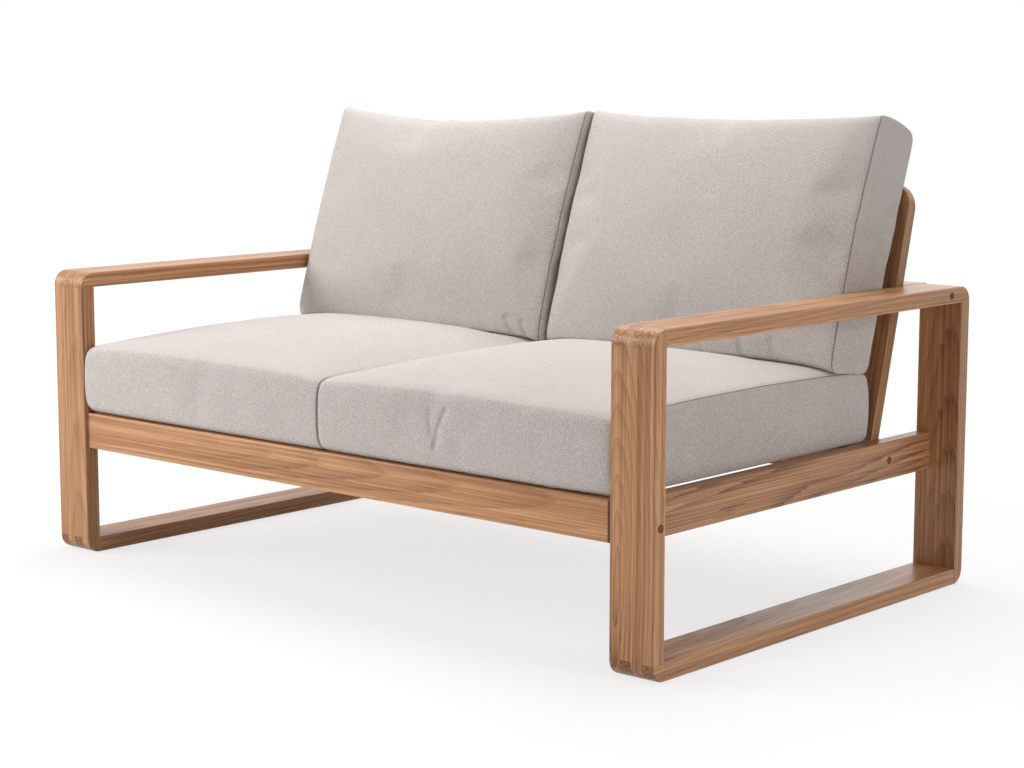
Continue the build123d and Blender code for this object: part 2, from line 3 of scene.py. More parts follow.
import bmesh
import bpy
import numpy as np
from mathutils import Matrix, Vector


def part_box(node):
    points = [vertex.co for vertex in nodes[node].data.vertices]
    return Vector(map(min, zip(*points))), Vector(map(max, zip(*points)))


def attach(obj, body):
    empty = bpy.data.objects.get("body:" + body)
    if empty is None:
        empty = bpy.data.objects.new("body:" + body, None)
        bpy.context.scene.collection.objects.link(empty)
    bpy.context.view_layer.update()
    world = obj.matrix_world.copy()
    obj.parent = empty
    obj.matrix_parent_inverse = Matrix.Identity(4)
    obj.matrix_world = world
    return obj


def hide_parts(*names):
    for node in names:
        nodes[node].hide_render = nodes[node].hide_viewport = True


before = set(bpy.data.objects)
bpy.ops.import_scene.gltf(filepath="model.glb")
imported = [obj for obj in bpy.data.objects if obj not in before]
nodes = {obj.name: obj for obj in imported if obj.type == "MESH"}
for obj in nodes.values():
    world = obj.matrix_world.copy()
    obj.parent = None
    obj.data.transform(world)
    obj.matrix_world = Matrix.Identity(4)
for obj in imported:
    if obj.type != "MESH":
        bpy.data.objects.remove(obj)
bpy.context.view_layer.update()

# Camera
# The loveseat stands turned to its right, seen from a little above arm height with a long lens.
# Place, turn and focal length were fitted to the straight edges of the side frames.
PHOTO_WIDTH = 1024
PHOTO_FOCAL_PIXELS = 2199.28
SENSOR_WIDTH = 36.0
camera_data = bpy.data.cameras.new("camera")
camera = bpy.data.objects.new("camera", camera_data)
bpy.context.scene.collection.objects.link(camera)
camera.location = (2.8281, -3.1450, 0.9673)
camera.rotation_euler = (math.radians(82.058), math.radians(-0.03), math.radians(41.656))
camera_data.sensor_width = SENSOR_WIDTH
camera_data.lens = PHOTO_FOCAL_PIXELS / PHOTO_WIDTH * SENSOR_WIDTH
camera_data.shift_x = 0.0040
camera_data.shift_y = -0.0099
bpy.context.scene.camera = camera
bpy.context.scene.view_settings.view_transform = "Standard"

# Side frames
# Each side is a closed loop of four planed teak boards, 90 by 30 mm, glued with box joints of
# four fingers at the corners, then rounded over and oiled. The fingers show their end grain.
SIDE_INNER = 0.670
FINGER_WIDTH = 0.0225
CORNER_Y = 0.446
FOOT_TOP = 0.030
ARM_BOTTOM = 0.535
TEAK_PALE = (0.640, 0.342, 0.168)
TEAK_MIDDLE = (0.415, 0.198, 0.088)
TEAK_DEEP = (0.200, 0.078, 0.031)
TEAK_PORE = (0.110, 0.038, 0.015)
RING_WIDTH = 0.0082
RING_WANDER = 0.030
STREAK_SCALE = (210, 210, 1.3)
FIBRE_SCALE = (640, 640, 9)
PORE_SCALE = (1300, 1300, 42)
BAND_SCALE = (34, 34, 0.9)
PATCH_SCALE = (38, 38, 38)
GLUE_LINE = 0.0004
SHOULDER_LINE = 0.0003
RECLINE = math.radians(14.5)
GRAIN_TURNS = {
    "x": (0, math.radians(-90), 0),
    "y": (math.radians(90), 0, 0),
    "z": (0, 0, 0),
    "reclined": (RECLINE, 0, 0),
}
GRAIN_AXES = {
    "x": (1, 0, 0),
    "y": (0, 1, 0),
    "z": (0, 0, 1),
    "reclined": (0, math.sin(RECLINE), math.cos(RECLINE)),
}


def new_finish(name):
    """An empty material with its surface shader, and a function that adds nodes to it."""
    material = bpy.data.materials.new(name)
    material.use_nodes = True
    tree = material.node_tree
    tree.nodes.clear()
    output = tree.nodes.new("ShaderNodeOutputMaterial")
    shader = tree.nodes.new("ShaderNodeBsdfPrincipled")
    tree.links.new(shader.outputs[0], output.inputs[0])

    def add(kind, *values, **settings):
        node = tree.nodes.new("ShaderNode" + kind)
        for key, value in settings.items():
            setattr(node, key, value)
        for place, value in enumerate(values):
            if value is None:
                continue
            if isinstance(value, bpy.types.NodeSocket):
                tree.links.new(value, node.inputs[place])
            else:
                node.inputs[place].default_value = value
        return node

    return material, shader, tree, add


def sums_for(add):
    """Short calls for arithmetic on sockets and numbers, as one material needs them."""
    def sums(operation, *values):
        return add("Math", *values, operation=operation).outputs[0]
    return sums


def tint(add, share, first, second, mode="MIX"):
    """A colour between two, or one laid on the other, by a share."""
    node = add("Mix", data_type="RGBA", blend_type=mode)
    tree = node.id_data
    for place, value in ((0, share), (6, first), (7, second)):
        if isinstance(value, bpy.types.NodeSocket):
            tree.links.new(value, node.inputs[place])
        else:
            node.inputs[place].default_value = value
    return node.outputs[2]


def finger_seams(add, sums, place):
    """1 on the fine glue lines of the box joints, 0 elsewhere."""
    split = add("SeparateXYZ", place).outputs
    across = sums("SUBTRACT", sums("ABSOLUTE", split[0]), SIDE_INNER)
    in_fingers = sums("FRACT", sums("ADD", sums("DIVIDE", across, FINGER_WIDTH), 0.5))
    to_line = sums("MULTIPLY", sums("ABSOLUTE", sums("SUBTRACT", in_fingers, 0.5)), FINGER_WIDTH)
    away = sums("ABSOLUTE", sums("SUBTRACT", across, 2 * FINGER_WIDTH))
    on_finger_line = sums("MULTIPLY", sums("LESS_THAN", to_line, GLUE_LINE),
                          sums("LESS_THAN", away, 1.5 * FINGER_WIDTH))
    along = sums("ABSOLUTE", split[1])
    at_end = sums("GREATER_THAN", along, CORNER_Y - SHOULDER_LINE)
    low = sums("LESS_THAN", split[2], FOOT_TOP + SHOULDER_LINE)
    high = sums("GREATER_THAN", split[2], ARM_BOTTOM - SHOULDER_LINE)
    in_corner = sums("MULTIPLY", at_end, sums("MAXIMUM", low, high))
    to_shoulder = sums("MINIMUM", sums("ABSOLUTE", sums("SUBTRACT", split[2], FOOT_TOP)),
                       sums("ABSOLUTE", sums("SUBTRACT", split[2], ARM_BOTTOM)))
    to_shoulder = sums("MINIMUM", to_shoulder,
                       sums("ABSOLUTE", sums("SUBTRACT", along, CORNER_Y)))
    on_shoulder = sums("LESS_THAN", to_shoulder, SHOULDER_LINE)
    return sums("MULTIPLY", in_corner, sums("MAXIMUM", on_finger_line, on_shoulder))


def toned(colour, tone):
    """A wood colour made a little lighter or darker for one board."""
    return tuple(min(part * tone, 1) for part in colour) + (1,)


def grain_noise(add, place, scale, detail, roughness=0.5):
    """Noise drawn out along the grain: closely spaced across it, widely along it."""
    stretched = add("Mapping", place, None, None, scale).outputs[0]
    node = add("TexNoise", stretched)
    node.inputs["Scale"].default_value = 1.0
    node.inputs["Detail"].default_value = detail
    node.inputs["Roughness"].default_value = roughness
    return node.outputs[0]


def oiled_teak(name, along, tone=1.0, shift=(0, 0, 0), figure=0.35, tilt=0.03, end_dark=0.35,
               seams=False, gap_shade_x=None):
    """Planed and oiled teak whose grain runs along one direction of the loveseat."""
    material, shader, tree, add = new_finish(name)
    sums = sums_for(add)
    coordinates = add("TexCoord")
    place = coordinates.outputs["Object"]
    turned = add("Mapping", place, (0, 0, 0), GRAIN_TURNS[along]).outputs[0]
    board = add("VectorMath", turned, shift, operation="ADD").outputs[0]

    # Long fine lines, and growth rings round a heart that lies beside the board and leans to it
    streak = add("MapRange", grain_noise(add, board, STREAK_SCALE, 4, 0.55),
                 0.38, 0.64, 0.0, 1.0).outputs[0]
    split = add("SeparateXYZ", board).outputs
    lean = sums("MULTIPLY", split[2], tilt)
    slow = grain_noise(add, board, (4, 4, 1.6), 2)
    wander = sums("MULTIPLY", sums("SUBTRACT", slow, 0.5), RING_WANDER)
    from_x = sums("ADD", split[0], wander)
    from_y = sums("ADD", sums("ADD", split[1], lean), wander)
    radius = sums("SQRT", sums("ADD", sums("MULTIPLY", from_x, from_x),
                               sums("MULTIPLY", from_y, from_y)))
    turns = sums("ADD", sums("DIVIDE", radius, RING_WIDTH), sums("MULTIPLY", streak, 0.22))
    late = sums("POWER", sums("FRACT", turns), 2.6)
    strong = add("MapRange", grain_noise(add, board, (9, 9, 1.1), 2),
                 0.40, 0.60, 0.30, 1.0).outputs[0]

    # Fine fibres, open pores and slow changes of tone along the board
    fibre = add("MapRange", grain_noise(add, board, FIBRE_SCALE, 3),
                0.32, 0.68, 0.0, 1.0).outputs[0]
    pore = add("MapRange", grain_noise(add, board, PORE_SCALE, 1),
               0.60, 0.72, 0.0, 1.0).outputs[0]
    broad = sums("SUBTRACT", grain_noise(add, board, BAND_SCALE, 2), 0.5)
    depth = sums("MULTIPLY", sums("MULTIPLY", late, strong), figure)
    depth = sums("ADD", depth, sums("MULTIPLY", streak, 0.46))
    depth = sums("ADD", depth, sums("MULTIPLY", fibre, 0.20))
    depth = sums("ADD", depth, broad)

    # End grain is darker, in uneven patches
    facing = add("VectorMath", coordinates.outputs["Normal"], GRAIN_AXES[along],
                 operation="DOT_PRODUCT").outputs["Value"]
    facing = sums("ABSOLUTE", facing)
    end = add("MapRange", facing, 0.45, 0.85, 0.0, end_dark).outputs[0]
    patches = sums("MULTIPLY", grain_noise(add, place, PATCH_SCALE, 3), 2.0)
    depth = sums("ADD", depth, sums("MULTIPLY", end, patches))
    ramp = add("ValToRGB", add("Clamp", depth, 0.0, 1.0).outputs[0])
    ramp.color_ramp.elements[0].color = toned(TEAK_PALE, tone)
    ramp.color_ramp.elements[1].color = toned(TEAK_DEEP, tone)
    ramp.color_ramp.elements.new(0.45).color = toned(TEAK_MIDDLE, tone)
    open_pore = sums("MULTIPLY", pore, add("MapRange", facing, 0.3, 0.8, 0.30, 0.05).outputs[0])
    colour = tint(add, open_pore, ramp.outputs[0], toned(TEAK_PORE, tone))

    # A painted shadow across the board where it meets a leg, the fingers' glue lines, and painted
    # shade on the rounded upright arrises
    if gap_shade_x:
        # Painted shadow: the rail's end beside the leg is darkened as if in the gap's shade
        gap = add("MapRange", add("SeparateXYZ", place).outputs[0], gap_shade_x, gap_shade_x + 0.002,
                  0.0, 0.92).outputs[0]
        colour = tint(add, gap, colour, toned(TEAK_PORE, 0.4))
    # With seams, both the real glue lines and the painted arris shade are drawn
    if seams:
        normal = add("SeparateXYZ", coordinates.outputs["Normal"]).outputs
        # Painted shade along the rounded upright arrises, darkest where the surface turns half way
        # from front to side
        painted_arris_shade = add("MapRange", sums("ABSOLUTE", sums("MULTIPLY", normal[0], normal[1])),
                    0.34, 0.48, 0.0, 0.50).outputs[0]
        clear = add("MapRange", add("SeparateXYZ", place).outputs[2],
                    0.20, 0.40, 0.45, 0.22).outputs[0]
        lines = sums("MAXIMUM", sums("MULTIPLY", finger_seams(add, sums, place), clear), painted_arris_shade)
        colour = tint(add, lines, colour, toned(TEAK_PORE, tone))
    tree.links.new(colour, shader.inputs["Base Color"])
    roughness = sums("ADD", sums("MULTIPLY", fibre, 0.12), 0.28)
    tree.links.new(roughness, shader.inputs["Roughness"])
    shader.inputs["Specular IOR Level"].default_value = 0.35
    bump = add("Bump")
    bump.inputs["Strength"].default_value = 0.25
    bump.inputs["Distance"].default_value = 0.0002
    tree.links.new(sums("SUBTRACT", sums("MULTIPLY", fibre, 0.5), pore), bump.inputs["Height"])
    tree.links.new(bump.outputs[0], shader.inputs["Normal"])
    return material


def finish_node(name, material):
    """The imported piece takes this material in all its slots."""
    piece = nodes[name]
    if not piece.material_slots:
        piece.data.materials.append(material)
    for slot in piece.material_slots:
        slot.material = material


# Grain direction, tone, shift of the heart, strength of the figure, lean and end-grain darkness
SIDE_BOARDS = {
    "front_leg_right": ("z", 1.02, (-0.686, 0.476, -0.150), 0.55, 0.14, 0.16),
    "front_leg_left": ("z", 0.94, (0.700, 0.530, 0.110), 0.30, 0.05, 0.20),
    "rear_leg_right": ("z", 0.95, (-0.740, -0.400, 0.310), 0.50, 0.09, 0.30),
    "rear_leg_left": ("z", 0.95, (0.640, -0.390, 0.210), 0.42, 0.06, 0.30),
    "arm_rail_right": ("y", 1.00, (-0.690, 0.640, 0.410), 0.34, 0.04, 0.16),
    "arm_rail_left": ("y", 0.97, (0.740, 0.610, 0.910), 0.34, 0.05, 0.16),
    "foot_rail_right": ("y", 0.98, (-0.680, 0.090, 0.610), 0.42, 0.06, 0.50),
    "foot_rail_left": ("y", 0.98, (0.700, 0.110, 0.510), 0.38, 0.05, 0.50),
}
for board_name, (along, tone, shift, figure, tilt, end_dark) in SIDE_BOARDS.items():
    finish_node(board_name, oiled_teak("teak_" + board_name, along, tone, shift, figure, tilt,
                                       end_dark, seams=True))

# Side aprons and seat rails
# Teak rails 70 mm high. The aprons enter the legs with twin tongues, and the front and rear rails
# are bolted between the sides. The right apron has a livelier, curly figure. The front rail's end
# beside the right leg is painted dark, a painted shadow of the gap between rail and leg.
# Where the painted shadow of the gap beside the right leg begins on the front rail
FRONT_RAIL_GAP_SHADE_X = 0.6605
RAILS = {
    "side_apron_right": ("y", 0.98, (-0.600, 0.225, 0.330), 0.80, 0.10),
    "side_apron_left": ("y", 0.96, (0.780, 0.280, 0.830), 0.50, 0.05),
    "front_seat_rail": ("x", 1.10, (0.270, 0.530, 0.270), 0.32, 0.05),
    "rear_seat_rail": ("x", 0.97, (0.310, -0.210, 0.47), 0.42, 0.03),
}
for rail_name, (along, tone, shift, figure, tilt) in RAILS.items():
    rail_gap_shade_x = FRONT_RAIL_GAP_SHADE_X if rail_name == "front_seat_rail" else None
    finish_node(rail_name, oiled_teak("teak_" + rail_name, along, tone, shift, figure, tilt,
                                      gap_shade_x=rail_gap_shade_x))

# Slatted seat
# Nine planed teak slats lie front to rear on a cleat along each rail. Each end is held down by
# one stainless countersunk screw, whose low domed head shows in the top of the slat.
SLAT_COUNT = 9
CLEATS = ("front_slat_cleat", "rear_slat_cleat")
for number in range(1, SLAT_COUNT + 1):
    slat_shift = (0.05 + 0.043 * number, 0.36 + 0.021 * number, 0.37 * number)
    finish_node(f"seat_slat_{number}",
                oiled_teak(f"teak_seat_slat_{number}", "y", 0.93 + 0.02 * (number % 3),
                           slat_shift, 0.45, 0.04))
for number, cleat_name in enumerate(CLEATS):
    finish_node(cleat_name, oiled_teak("teak_" + cleat_name, "x", 0.92,
                                       (0.28 + 0.1 * number, 0.4, 0.6), 0.4, 0.03))


def brushed_steel(name, shade):
    """Stainless steel with fine brush marks."""
    material, shader, tree, add = new_finish(name)
    place = add("TexCoord").outputs["Object"]
    marks = add("TexNoise", add("Mapping", place, None, None, (3000, 300, 300)).outputs[0])
    marks.inputs["Scale"].default_value = 1.0
    worn = add("MapRange", marks.outputs[0], 0.3, 0.7, shade * 0.86, shade * 1.08).outputs[0]
    grey = add("CombineColor", worn, worn, worn).outputs[0]
    tree.links.new(grey, shader.inputs["Base Color"])
    rough = add("MapRange", marks.outputs[0], 0.3, 0.7, 0.26, 0.40).outputs[0]
    tree.links.new(rough, shader.inputs["Roughness"])
    shader.inputs["Metallic"].default_value = 1.0
    return material


SCREW_SHADE = 0.62
SCREW_HEAD_RADIUS = 0.0040
SCREW_DOME = 0.00025
SCREW_SOCKET_RADIUS = 0.0017
SCREW_SOCKET_DEPTH = 0.0012
SCREW_CONE_DEPTH = 0.0026
SCREW_RIM_DEPTH = 0.0002
SCREW_SIDES = 24
SOCKET_LOBES = 6
LOBE_REACH = 0.16
screw_steel = brushed_steel("slat_screw_steel", SCREW_SHADE)


def slat_screw(name, centre):
    """A countersunk screw head: low dome, six-lobed socket and the cone under it."""
    form = bmesh.new()
    rings = [
        (SCREW_HEAD_RADIUS * 0.45, -SCREW_CONE_DEPTH, False),
        (SCREW_HEAD_RADIUS, -SCREW_RIM_DEPTH, False),
        (SCREW_HEAD_RADIUS * 0.97, SCREW_DOME * 0.35, False),
        (SCREW_HEAD_RADIUS * 0.70, SCREW_DOME * 0.9, False),
        (SCREW_SOCKET_RADIUS * 1.10, SCREW_DOME, True),
        (SCREW_SOCKET_RADIUS, SCREW_DOME - SCREW_SOCKET_DEPTH, True),
    ]
    made = []
    for radius, height, lobed in rings:
        ring = []
        for step in range(SCREW_SIDES):
            angle = 2 * math.pi * step / SCREW_SIDES
            lobe = LOBE_REACH * math.cos(SOCKET_LOBES * angle) if lobed else 0
            reach = radius * (1 + lobe)
            ring.append(form.verts.new((centre[0] + reach * math.cos(angle),
                                        centre[1] + reach * math.sin(angle),
                                        centre[2] + height)))
        made.append(ring)
    for lower, upper in zip(made, made[1:]):
        for step in range(SCREW_SIDES):
            after = (step + 1) % SCREW_SIDES
            form.faces.new((lower[step], lower[after], upper[after], upper[step]))
    form.faces.new(list(reversed(made[0])))
    form.faces.new(made[-1])
    mesh = bpy.data.meshes.new(name)
    form.to_mesh(mesh)
    form.free()
    piece = bpy.data.objects.new(name, mesh)
    bpy.context.scene.collection.objects.link(piece)
    mesh.materials.append(screw_steel)
    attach(piece, "frame")


for number in range(1, SLAT_COUNT + 1):
    slat_low, slat_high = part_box(f"seat_slat_{number}")
    for end_name, cleat_name in zip(("front", "rear"), CLEATS):
        cleat_low, cleat_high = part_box(cleat_name)
        slat_screw(f"slat_screw_{end_name}_{number}",
                   ((slat_low.x + slat_high.x) / 2, (cleat_low.y + cleat_high.y) / 2,
                    slat_high.z))

# Back frame
# Two teak stiles with rounded top corners stand reclined on the rear seat rail. Upright slats are
# housed in a top and a lower rail, and a flat rail between the arms carries the frame.
BACK_PIECES = {
    # The right stile's tone is lowered: a darker copy of the teak, painted shade for the cushions'
    # shadow on it
    "back_stile_right": ("reclined", 0.76, (-0.560, 0.120, 0.13), 0.50, 0.05),
    "back_stile_left": ("reclined", 0.80, (0.690, 0.130, 0.43), 0.45, 0.04),
    "back_top_rail": ("x", 0.95, (0.800, -0.320, 0.23), 0.42, 0.03),
    "back_lower_rail": ("x", 0.93, (0.400, -0.280, 0.73), 0.42, 0.03),
    "back_support_rail": ("x", 0.98, (0.620, -0.380, 0.53), 0.45, 0.03),
}
for number in range(1, SLAT_COUNT + 1):
    BACK_PIECES[f"back_slat_{number}"] = ("reclined", 0.91 + 0.02 * (number % 4),
                                          (0.04 + 0.037 * number, 0.10, 0.29 * number),
                                          0.42, 0.04)
for piece_name, (along, tone, shift, figure, tilt) in BACK_PIECES.items():
    finish_node(piece_name, oiled_teak("teak_" + piece_name, along, tone, shift, figure, tilt))

# Plugs
# Round teak plugs, 14 mm across, glued over the bolt heads and sanded flush. The pair in the arms
# is from darker wood, and each has a thin ring of painted shade round its edge.
PLUG_RADIUS = 0.007
PLUG_TONES = {"leg_plugs": 1.15, "apron_plugs": 1.05, "arm_plugs": 0.50}


def plug_wood(name, node_name, tone):
    """Teak plug with rings, seen on its end, and a thin ring of painted shade round its edge."""
    low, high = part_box(node_name)
    middle_y, middle_z = (low.y + high.y) / 2, (low.z + high.z) / 2
    material, shader, tree, add = new_finish(name)
    sums = sums_for(add)
    place = add("TexCoord").outputs["Object"]
    split = add("SeparateXYZ", place).outputs
    off_y = sums("SUBTRACT", split[1], middle_y)
    off_z = sums("SUBTRACT", split[2], middle_z)
    radius = sums("SQRT", sums("ADD", sums("MULTIPLY", off_y, off_y),
                               sums("MULTIPLY", off_z, off_z)))
    streaks = grain_noise(add, place, (300, 900, 120), 3)
    wood = tint(add, streaks, toned(TEAK_DEEP, tone), toned(TEAK_PORE, tone))
    # Painted shade: a dark ring round the plug's edge, as a recess would cast
    edge_shade = add("MapRange", radius, PLUG_RADIUS * 0.66, PLUG_RADIUS * 0.90, 0.0, 1.0).outputs[0]
    wood = tint(add, edge_shade, wood, toned(TEAK_PORE, 0.35))
    tree.links.new(wood, shader.inputs["Base Color"])
    rough = sums("ADD", sums("MULTIPLY", streaks, 0.15), 0.50)
    tree.links.new(rough, shader.inputs["Roughness"])
    shader.inputs["Specular IOR Level"].default_value = 0.2
    return material


for node_name, tone in PLUG_TONES.items():
    finish_node(node_name, plug_wood("wood_" + node_name, node_name, tone))

# Bolts, nuts, screws and dowels
# Stainless bolts run from the sides into the rails' ends and pull on barrel nuts. Beech dowels
# keep the rails and the stiles' feet from turning. Almost all of this is hidden.
BOLT_SHADE = 0.58
BEECH_PALE = (0.62, 0.42, 0.25, 1)
BEECH_DEEP = (0.48, 0.30, 0.17, 1)
frame_steel = brushed_steel("frame_bolt_steel", BOLT_SHADE)
for node_name in ("leg_bolts", "apron_bolts", "arm_bolts", "barrel_nuts", "back_frame_screws"):
    finish_node(node_name, frame_steel)
beech, beech_shader, beech_tree, beech_add = new_finish("dowel_beech_wood")
beech_flecks = grain_noise(beech_add, beech_add("TexCoord").outputs["Object"], (400, 400, 400), 2)
beech_colour = tint(beech_add, beech_flecks, BEECH_PALE, BEECH_DEEP)
beech_tree.links.new(beech_colour, beech_shader.inputs["Base Color"])
beech_shader.inputs["Roughness"].default_value = 0.6
for node_name in ("rail_dowels", "back_foot_dowels"):
    finish_node(node_name, beech)

# Seat cushions
# Each is a foam block in a cover of one long panel, sewn round the front, top, rear and underside,
# with a side panel let in at each end. The plain seams pull in, and the foam crowns between them.
CUSHION_LOW_X = 0.0006
CUSHION_HIGH_X = 0.6685
CUSHION_SPANS = {
    "right": (CUSHION_LOW_X, CUSHION_HIGH_X),
    "left": (-CUSHION_HIGH_X, -CUSHION_LOW_X),
}
CUSHION_ROOM = {"right": (0.0004, 0.6695), "left": (-0.6695, -0.0004)}
ROW_COUNT = 58
SEAM_CELL = 0.0035
CORNER_REACH = 0.83


def seam_spaced(count, length):
    """Shares from 0 to 1 with a narrow cell at each end, where a seam is sewn."""
    edge = SEAM_CELL / length
    inner = np.linspace(edge, 1 - edge, count - 1)
    return np.concatenate(([0.0], inner, [1.0]))


def bowed_side(start, end, before, after, radii, bow, shares):
    """Points from the middle of one rounded corner to the middle of the next."""
    start, end = np.array(start), np.array(end)
    along = (end - start) / np.linalg.norm(end - start)
    out = np.array((along[1], -along[0]))
    corner_parts = []
    for corner, other, inward, radius in ((start, before, along, radii[0]),
                                          (end, after, -along, radii[1])):
        to_other = (np.array(other) - corner) / np.linalg.norm(np.array(other) - corner)
        first, last = corner + to_other * radius, corner + inward * radius
        middle = (first + last) / 2
        control = middle + (corner - middle) * CORNER_REACH
        steps = np.linspace(0.5, 1, 9)[:, None]
        curve = (1 - steps) ** 2 * first + 2 * steps * (1 - steps) * control + steps ** 2 * last
        corner_parts.append(curve)
    run_start, run_end = corner_parts[0][-1], corner_parts[1][-1]
    steps = np.linspace(0, 1, 40)[1:-1, None]
    run = run_start + (run_end - run_start) * steps + out * bow * 4 * steps * (1 - steps)
    line = np.vstack((corner_parts[0], run, corner_parts[1][::-1]))
    lengths = np.concatenate(([0], np.cumsum(np.linalg.norm(np.diff(line, axis=0), axis=1))))
    wanted = shares * lengths[-1]
    return np.stack([np.interp(wanted, lengths, line[:, k]) for k in (0, 1)], axis=1)


def cover_mesh(name, low_x, high_x, section, counts, panel_puff):
    """The sewn cover: a wrapped panel and two side panels, with cloth lengths as its UVs."""
    long_count, short_count = counts
    corners, _, _ = section(0.5)
    long_length = abs(corners[1][0] - corners[0][0])
    short_length = abs(corners[2][1] - corners[1][1])
    long_shares = seam_spaced(long_count, max(long_length, 0.1))
    short_shares = seam_spaced(short_count, max(short_length, 0.1))
    row_shares = seam_spaced(ROW_COUNT, high_x - low_x)
    loop_count = 2 * (long_count + short_count)
    points, around = [], []
    for share in row_shares:
        corners, radii, bows = section(share)
        sides = []
        for k in range(4):
            shares = long_shares if k % 2 == 0 else short_shares
            sides.append(bowed_side(corners[k], corners[(k + 1) % 4], corners[k - 1],
                                    corners[(k + 2) % 4], (radii[k], radii[(k + 1) % 4]),
                                    bows[k], shares))
        loop = np.vstack([side[:-1] for side in sides])
        x = low_x + (high_x - low_x) * share
        points.extend((x, y, z) for y, z in loop)
        steps = np.linalg.norm(np.diff(np.vstack((loop, loop[:1])), axis=0), axis=1)
        length = np.concatenate(([0], np.cumsum(steps)))
        around.append(length - length[2 * long_count + short_count])
    faces, cloth, from_seam = [], [], [0.0] * len(points)
    width = high_x - low_x
    for row in range(ROW_COUNT + 1):
        near = min(row_shares[row], 1 - row_shares[row]) * width
        for k in range(loop_count):
            from_seam[row * loop_count + k] = near
    for row in range(ROW_COUNT):
        x0, x1 = (low_x + width * row_shares[row + n] for n in (0, 1))
        for k in range(loop_count):
            after = (k + 1) % loop_count
            a, b = row * loop_count + k, row * loop_count + after
            faces.append((a, b, b + loop_count, a + loop_count))
            cloth.append(((x0, around[row][k]), (x0, around[row][k + 1]),
                          (x1, around[row + 1][k + 1]), (x1, around[row + 1][k])))
    for row, out in ((0, -1), (ROW_COUNT, 1)):
        base = row * loop_count
        ring = np.array(points[base:base + loop_count])
        turn = (long_count, long_count + short_count, 2 * long_count + short_count)
        bottom = list(range(long_count + 1))
        rear = [turn[0] + k for k in range(short_count + 1)]
        top = [turn[2] - k for k in range(long_count + 1)]
        front = [(loop_count - k) % loop_count for k in range(short_count + 1)]
        grid = {}
        for i, s in enumerate(long_shares):
            for j, t in enumerate(short_shares):
                if j == 0:
                    grid[i, j] = base + bottom[i]
                elif j == short_count:
                    grid[i, j] = base + top[i]
                elif i == 0:
                    grid[i, j] = base + front[j]
                elif i == long_count:
                    grid[i, j] = base + rear[j]
                else:
                    spot = ((1 - t) * ring[bottom[i]] + t * ring[top[i]]
                            + (1 - s) * ring[front[j]] + s * ring[rear[j]]
                            - (1 - s) * (1 - t) * ring[bottom[0]]
                            - s * (1 - t) * ring[bottom[-1]]
                            - (1 - s) * t * ring[top[0]] - s * t * ring[top[-1]])
                    spot[0] += out * panel_puff * (16 * s * (1 - s) * t * (1 - t)) ** 0.5
                    grid[i, j] = len(points)
                    points.append(tuple(spot))
                    from_seam.append(min(s * long_length, (1 - s) * long_length,
                                         t * short_length, (1 - t) * short_length))
        for i in range(long_count):
            for j in range(short_count):
                face = [grid[i, j], grid[i + 1, j], grid[i + 1, j + 1], grid[i, j + 1]]
                if out < 0:
                    face.reverse()
                faces.append(tuple(face))
                cloth.append(tuple((points[v][1], points[v][2]) for v in face))
    mesh = bpy.data.meshes.new(name)
    mesh.from_pydata([tuple(p) for p in points], [], faces)
    layer = mesh.uv_layers.new(name="cloth")
    layer.data.foreach_set("uv", np.array(cloth, float).ravel())
    seam = mesh.attributes.new("from_seam", "FLOAT", "POINT")
    seam.data.foreach_set("value", np.array(from_seam, np.float32))
    form = bmesh.new()
    form.from_mesh(mesh)
    volume = form.calc_volume(signed=True)
    form.free()
    if volume < 0:
        mesh.flip_normals()
    mesh.update()
    for face in mesh.polygons:
        face.use_smooth = True
    piece = bpy.data.objects.new(name, mesh)
    bpy.context.scene.collection.objects.link(piece)
    return piece


FILL_FRAMES = 20
FILL_PRESSURE = 4.0
FILL_REACH = 0.022
FILL_AT_SEAM = 0.25
FILL_FADE = 0.060
SEAM_PULL = 0.010
SEAM_DEPTH = 0.0022
BED_FADE = 0.045


def read_points(mesh):
    """A mesh's points as rows of x, y, z."""
    flat = np.zeros(len(mesh.vertices) * 3)
    mesh.vertices.foreach_get("co", flat)
    return flat.reshape(-1, 3)


def fill_with_foam(piece, axes, share, free):
    """The cover swells against its seams as cloth; where it is bedded on something it stays."""
    scene = bpy.context.scene
    start = read_points(piece.data)
    seam_points = np.zeros(len(piece.data.vertices), np.float32)
    piece.data.attributes["from_seam"].data.foreach_get("value", seam_points)
    group = piece.vertex_groups.new(name="seam")
    group.add([int(v) for v in np.where(seam_points < SEAM_CELL * 1.5)[0]], 1.0, "REPLACE")
    cloth = piece.modifiers.new("Cloth", "CLOTH")
    settings = cloth.settings
    settings.quality = 5
    settings.mass = 0.35
    settings.tension_stiffness = 22
    settings.compression_stiffness = 14
    settings.shear_stiffness = 8
    settings.bending_stiffness = 8
    settings.use_pressure = True
    settings.uniform_pressure_force = FILL_PRESSURE
    settings.vertex_group_shrink = "seam"
    settings.shrink_min = -0.004
    settings.shrink_max = SEAM_PULL
    settings.effector_weights.gravity = 0
    cloth.collision_settings.use_collision = False
    cloth.point_cache.frame_start = 1
    cloth.point_cache.frame_end = FILL_FRAMES
    for step in range(1, FILL_FRAMES + 1):
        scene.frame_set(step)
    shape = piece.evaluated_get(bpy.context.evaluated_depsgraph_get()).to_mesh()
    filled = read_points(shape)
    piece.modifiers.remove(cloth)
    piece.vertex_groups.remove(group)
    scene.frame_set(1)
    wanted_low, wanted_high = start.min(axis=0), start.max(axis=0)
    low, high = filled.min(axis=0), filled.max(axis=0)
    stretched = wanted_low + (filled - low) * (wanted_high - wanted_low) / (high - low)
    filled[:, axes] = stretched[:, axes]
    settled = share * np.clip(FILL_AT_SEAM + seam_points / FILL_FADE, 0, 1) * free(start)
    moved = (filled - start) * settled[:, None]
    far = np.linalg.norm(moved, axis=1, keepdims=True)
    moved *= np.minimum(1, FILL_REACH / np.maximum(far, 1e-9))
    piece.data.vertices.foreach_set("co", (start + moved).ravel())
    piece.data.update()


